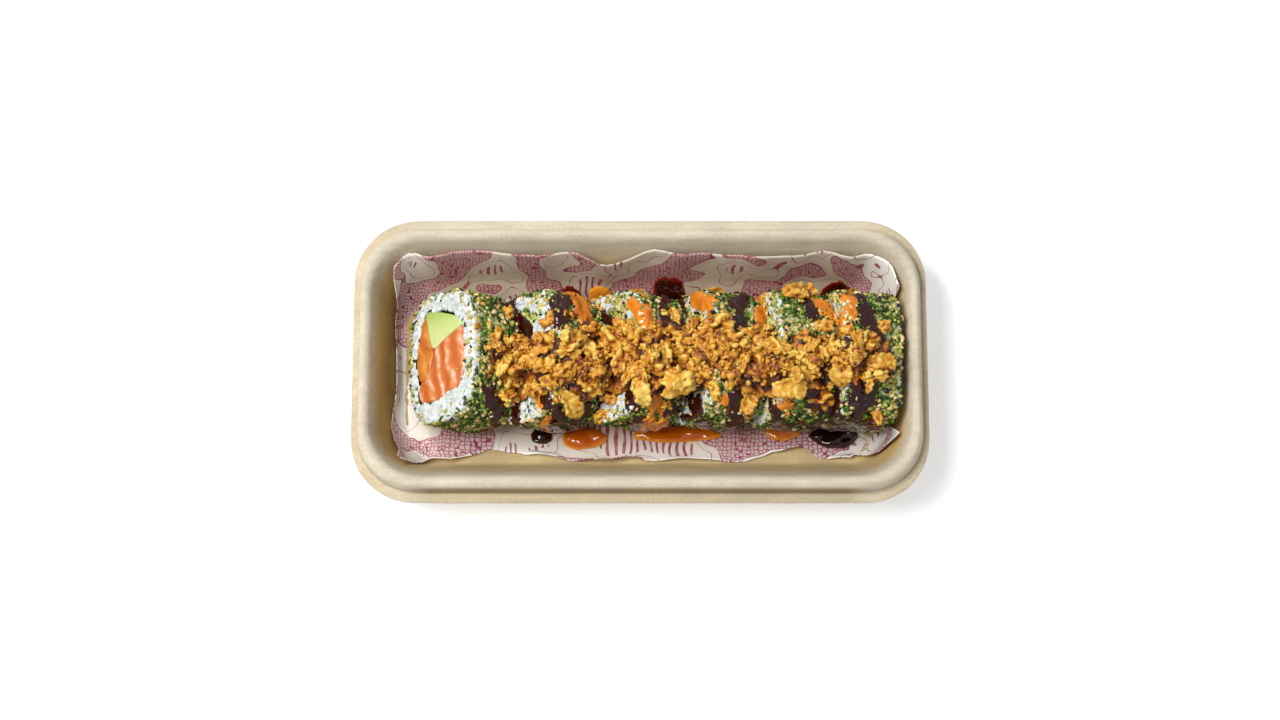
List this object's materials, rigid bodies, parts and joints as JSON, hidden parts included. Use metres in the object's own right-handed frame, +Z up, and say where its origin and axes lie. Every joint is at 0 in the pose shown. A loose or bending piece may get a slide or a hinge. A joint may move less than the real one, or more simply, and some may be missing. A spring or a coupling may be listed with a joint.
{
  "type": "uramaki roll in a takeaway tray",
  "caption": "Inside-out sushi roll, cut and leaning in a moulded-fibre tray on a paper liner, with herb and sesame coat, sauces and crisp fried onions.",
  "frame": {"origin": "middle of the tray's flat underside, on the surface it stands on", "axes": "+X along the tray's length, towards the end the pieces lean to; +Y across it, away from the viewer; +Z up"},
  "size_m": [0.2232, 0.1132, 0.051],
  "materials": {
    "moulded_fibre": "matt, felted",
    "greaseproof_paper": "satin",
    "pressed_rice": "moist",
    "nori": "dark, matt",
    "salmon": "moist",
    "avocado": "buttery",
    "fried_onion": "rough, oily",
    "soy_glaze": "glossy",
    "chilli_sauce": "glossy"
  },
  "bodies": {
    "root": {"tray": "moulded_fibre", "paper_liner": "greaseproof_paper", "crispy_onions": "fried_onion", "rice_1": "pressed_rice", "nori_1": "nori", "salmon_1": "salmon", "salmon_edge_1": "salmon", "avocado_1": "avocado", "rice_2": "pressed_rice", "nori_2": "nori", "salmon_2": "salmon", "salmon_edge_2": "salmon", "avocado_2": "avocado", "rice_3": "pressed_rice", "nori_3": "nori", "salmon_3": "salmon", "salmon_edge_3": "salmon", "avocado_3": "avocado", "rice_4": "pressed_rice", "nori_4": "nori", "salmon_4": "salmon", "salmon_edge_4": "salmon", "avocado_4": "avocado", "rice_5": "pressed_rice", "nori_5": "nori", "salmon_5": "salmon", "salmon_edge_5": "salmon", "avocado_5": "avocado", "rice_6": "pressed_rice", "nori_6": "nori", "salmon_6": "salmon", "salmon_edge_6": "salmon", "avocado_6": "avocado", "soy_pool_1": "soy_glaze", "soy_pool_2": "soy_glaze", "soy_pool_3": "soy_glaze", "soy_pool_4": "soy_glaze", "soy_pool_5": "soy_glaze", "soy_pool_6": "soy_glaze", "chilli_pool_1": "chilli_sauce", "chilli_pool_2": "chilli_sauce", "chilli_pool_3": "chilli_sauce", "chilli_pool_4": "chilli_sauce", "chilli_pool_5": "chilli_sauce"}
  },
  "joints": []
}
